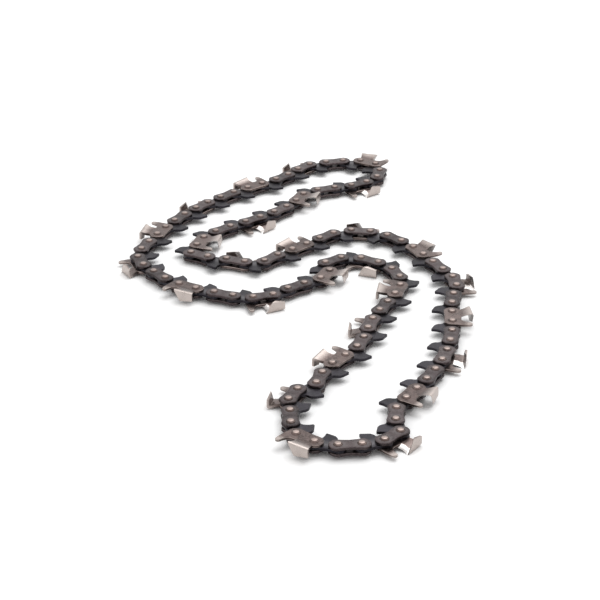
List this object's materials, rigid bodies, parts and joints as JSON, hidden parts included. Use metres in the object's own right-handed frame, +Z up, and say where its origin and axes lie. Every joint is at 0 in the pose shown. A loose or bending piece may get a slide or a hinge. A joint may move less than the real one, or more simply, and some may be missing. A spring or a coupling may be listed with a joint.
{
  "type": "saw chain",
  "caption": "Closed loop of chainsaw chain: alternate left and right cutters with depth gauges, tie straps and drive links with tangs, laid on its side in a bent loop.",
  "frame": {"origin": "middle of the loop's outline, on the surface that it lies on", "axes": "+Z up, out of the chain's upper side, with +Y along the loop's length"},
  "size_m": [0.1704, 0.3228, 0.0067],
  "materials": {
    "cutter_steel": "satin plated",
    "link_steel": "dark oiled"
  },
  "bodies": {
    "run_01": {"right_cutter_01": "cutter_steel", "link_run_01": "link_steel"},
    "run_02": {"left_cutter_02": "cutter_steel", "link_run_02": "link_steel"},
    "run_03": {"right_cutter_03": "cutter_steel", "link_run_03": "link_steel"},
    "run_04": {"left_cutter_04": "cutter_steel", "link_run_04": "link_steel"},
    "run_05": {"right_cutter_05": "cutter_steel", "link_run_05": "link_steel"},
    "run_06": {"left_cutter_06": "cutter_steel", "link_run_06": "link_steel"},
    "run_07": {"right_cutter_07": "cutter_steel", "link_run_07": "link_steel"},
    "run_08": {"left_cutter_08": "cutter_steel", "link_run_08": "link_steel"},
    "run_09": {"right_cutter_09": "cutter_steel", "link_run_09": "link_steel"},
    "run_10": {"left_cutter_10": "cutter_steel", "link_run_10": "link_steel"},
    "run_11": {"right_cutter_11": "cutter_steel", "link_run_11": "link_steel"},
    "run_12": {"left_cutter_12": "cutter_steel", "link_run_12": "link_steel"},
    "run_13": {"right_cutter_13": "cutter_steel", "link_run_13": "link_steel"},
    "run_14": {"left_cutter_14": "cutter_steel", "link_run_14": "link_steel"},
    "run_15": {"right_cutter_15": "cutter_steel", "link_run_15": "link_steel"},
    "run_16": {"left_cutter_16": "cutter_steel", "link_run_16": "link_steel"},
    "run_17": {"right_cutter_17": "cutter_steel", "link_run_17": "link_steel"},
    "run_18": {"left_cutter_18": "cutter_steel", "link_run_18": "link_steel"},
    "run_19": {"right_cutter_19": "cutter_steel", "link_run_19": "link_steel"},
    "run_20": {"left_cutter_20": "cutter_steel", "link_run_20": "link_steel"},
    "run_21": {"right_cutter_21": "cutter_steel", "link_run_21": "link_steel"},
    "run_22": {"left_cutter_22": "cutter_steel", "link_run_22": "link_steel"},
    "run_23": {"right_cutter_23": "cutter_steel", "link_run_23": "link_steel"},
    "run_24": {"left_cutter_24": "cutter_steel", "link_run_24": "link_steel"},
    "run_25": {"right_cutter_25": "cutter_steel", "link_run_25": "link_steel"},
    "run_26": {"left_cutter_26": "cutter_steel", "link_run_26": "link_steel"},
    "run_27": {"right_cutter_27": "cutter_steel", "link_run_27": "link_steel"},
    "run_28": {"left_cutter_28": "cutter_steel", "link_run_28": "link_steel"}
  },
  "joints": [
    {"name": "pivot_10", "type": "hinge", "parent": "run_10", "child": "run_09", "pos_m": [0.03215, 0.0226, 0.00336], "axis": [0, 0, 1], "range_deg": [-9, 4.8]},
    {"name": "pivot_09", "type": "hinge", "parent": "run_09", "child": "run_08", "pos_m": [0.01244, -0.00033, 0.00336], "axis": [0, 0, 1], "range_deg": [-18, 9.8]},
    {"name": "pivot_08", "type": "hinge", "parent": "run_08", "child": "run_07", "pos_m": [-0.0188, -0.02107, 0.00336], "axis": [0, 0, 1], "range_deg": [-3.4, 2]},
    {"name": "pivot_07", "type": "hinge", "parent": "run_07", "child": "run_06", "pos_m": [-0.05373, -0.00675, 0.00336], "axis": [0, 0, 1], "range_deg": [-9.5, 17.5]},
    {"name": "pivot_06", "type": "hinge", "parent": "run_06", "child": "run_05", "pos_m": [-0.07545, 0.02394, 0.00336], "axis": [0, 0, 1], "range_deg": [-7, 12.9]},
    {"name": "pivot_05", "type": "hinge", "parent": "run_05", "child": "run_04", "pos_m": [-0.06455, 0.06021, 0.00336], "axis": [0, 0, 1], "range_deg": [-7, 11]},
    {"name": "pivot_04", "type": "hinge", "parent": "run_04", "child": "run_03", "pos_m": [-0.04488, 0.09268, 0.00336], "axis": [0, 0, 1], "range_deg": [-7.2, 11.2]},
    {"name": "pivot_03", "type": "hinge", "parent": "run_03", "child": "run_02", "pos_m": [-0.01732, 0.11885, 0.00336], "axis": [0, 0, 1], "range_deg": [-2.3, 3.4]},
    {"name": "pivot_02", "type": "hinge", "parent": "run_02", "child": "run_01", "pos_m": [0.00805, 0.147, 0.00336], "axis": [0, 0, 1], "range_deg": [-25, 16.1]},
    {"name": "pivot_01", "type": "hinge", "parent": "run_01", "child": "run_28", "pos_m": [0.04389, 0.14746, 0.00336], "axis": [0, 0, 1], "range_deg": [-9.9, 15.3]},
    {"name": "pivot_28", "type": "hinge", "parent": "run_28", "child": "run_27", "pos_m": [0.02999, 0.11643, 0.00336], "axis": [0, 0, 1], "range_deg": [-3, 4.4]},
    {"name": "pivot_27", "type": "hinge", "parent": "run_27", "child": "run_26", "pos_m": [0.00078, 0.09535, 0.00336], "axis": [0, 0, 1], "range_deg": [-4.7, 7.2]},
    {"name": "pivot_26", "type": "hinge", "parent": "run_26", "child": "run_25", "pos_m": [-0.02468, 0.06742, 0.00336], "axis": [0, 0, 1], "range_deg": [-25.4, 16.3]},
    {"name": "pivot_11", "type": "hinge", "parent": "run_10", "child": "run_11", "pos_m": [0.04943, -0.00814, 0.00336], "axis": [0, 0, 1], "range_deg": [-19, 20]},
    {"name": "pivot_12", "type": "hinge", "parent": "run_11", "child": "run_12", "pos_m": [0.03537, -0.0435, 0.00336], "axis": [0, 0, 1], "range_deg": [-9.1, 9.6]},
    {"name": "pivot_13", "type": "hinge", "parent": "run_12", "child": "run_13", "pos_m": [0.02229, -0.0789, 0.00336], "axis": [0, 0, 1], "range_deg": [-16.8, 16]},
    {"name": "pivot_14", "type": "hinge", "parent": "run_13", "child": "run_14", "pos_m": [0.00179, -0.10955, 0.00336], "axis": [0, 0, 1], "range_deg": [-8.1, 8.5]},
    {"name": "pivot_15", "type": "hinge", "parent": "run_14", "child": "run_15", "pos_m": [0.00122, -0.14658, 0.00336], "axis": [0, 0, 1], "range_deg": [-19.4, 18.5]},
    {"name": "pivot_16", "type": "hinge", "parent": "run_15", "child": "run_16", "pos_m": [0.03602, -0.15136, 0.00336], "axis": [0, 0, 1], "range_deg": [-16.8, 17.7]},
    {"name": "pivot_17", "type": "hinge", "parent": "run_16", "child": "run_17", "pos_m": [0.04637, -0.1172, 0.00336], "axis": [0, 0, 1], "range_deg": [-5.6, 5.9]},
    {"name": "pivot_18", "type": "hinge", "parent": "run_17", "child": "run_18", "pos_m": [0.06358, -0.08328, 0.00336], "axis": [0, 0, 1], "range_deg": [-3.2, 3.4]},
    {"name": "pivot_19", "type": "hinge", "parent": "run_18", "child": "run_19", "pos_m": [0.07091, -0.046, 0.00336], "axis": [0, 0, 1], "range_deg": [-17.2, 16.4]},
    {"name": "pivot_20", "type": "hinge", "parent": "run_19", "child": "run_20", "pos_m": [0.07579, -0.0083, 0.00336], "axis": [0, 0, 1], "range_deg": [-11.1, 10.6]},
    {"name": "pivot_21", "type": "hinge", "parent": "run_20", "child": "run_21", "pos_m": [0.06244, 0.02699, 0.00336], "axis": [0, 0, 1], "range_deg": [-27.6, 14.9]},
    {"name": "pivot_22", "type": "hinge", "parent": "run_21", "child": "run_22", "pos_m": [0.03772, 0.05488, 0.00336], "axis": [0, 0, 1], "range_deg": [-3.5, 2]},
    {"name": "pivot_23", "type": "hinge", "parent": "run_22", "child": "run_23", "pos_m": [0.00603, 0.03942, 0.00336], "axis": [0, 0, 1], "range_deg": [-7.1, 13.1]},
    {"name": "pivot_24", "type": "hinge", "parent": "run_23", "child": "run_24", "pos_m": [-0.0238, 0.01837, 0.00336], "axis": [0, 0, 1], "range_deg": [-6.4, 11.6]}
  ],
  "couplings": [
    {"joint": "pivot_09", "follows": "pivot_10", "ratio": 1.9567},
    {"joint": "pivot_08", "follows": "pivot_10", "ratio": 0.32884},
    {"joint": "pivot_07", "follows": "pivot_10", "ratio": -1.9007},
    {"joint": "pivot_06", "follows": "pivot_10", "ratio": -1.3848},
    {"joint": "pivot_04", "follows": "pivot_05", "ratio": 0.97834},
    {"joint": "pivot_03", "follows": "pivot_05", "ratio": 0.27645},
    {"joint": "pivot_02", "follows": "pivot_05", "ratio": -2.2384},
    {"joint": "pivot_01", "follows": "pivot_05", "ratio": 1.3581},
    {"joint": "pivot_28", "follows": "pivot_05", "ratio": 0.36814},
    {"joint": "pivot_27", "follows": "pivot_05", "ratio": 0.61388},
    {"joint": "pivot_26", "follows": "pivot_05", "ratio": -2.2707},
    {"joint": "pivot_12", "follows": "pivot_11", "ratio": 0.45942},
    {"joint": "pivot_13", "follows": "pivot_11", "ratio": -0.81944},
    {"joint": "pivot_14", "follows": "pivot_11", "ratio": 0.40296},
    {"joint": "pivot_15", "follows": "pivot_11", "ratio": -0.95205},
    {"joint": "pivot_16", "follows": "pivot_11", "ratio": 0.86284},
    {"joint": "pivot_17", "follows": "pivot_11", "ratio": 0.27457},
    {"joint": "pivot_18", "follows": "pivot_11", "ratio": 0.14813},
    {"joint": "pivot_19", "follows": "pivot_11", "ratio": -0.842},
    {"joint": "pivot_20", "follows": "pivot_11", "ratio": -0.53443},
    {"joint": "pivot_21", "follows": "pivot_10", "ratio": 3.0231},
    {"joint": "pivot_22", "follows": "pivot_10", "ratio": 0.342},
    {"joint": "pivot_23", "follows": "pivot_10", "ratio": -1.4058},
    {"joint": "pivot_24", "follows": "pivot_10", "ratio": -1.2444}
  ]
}
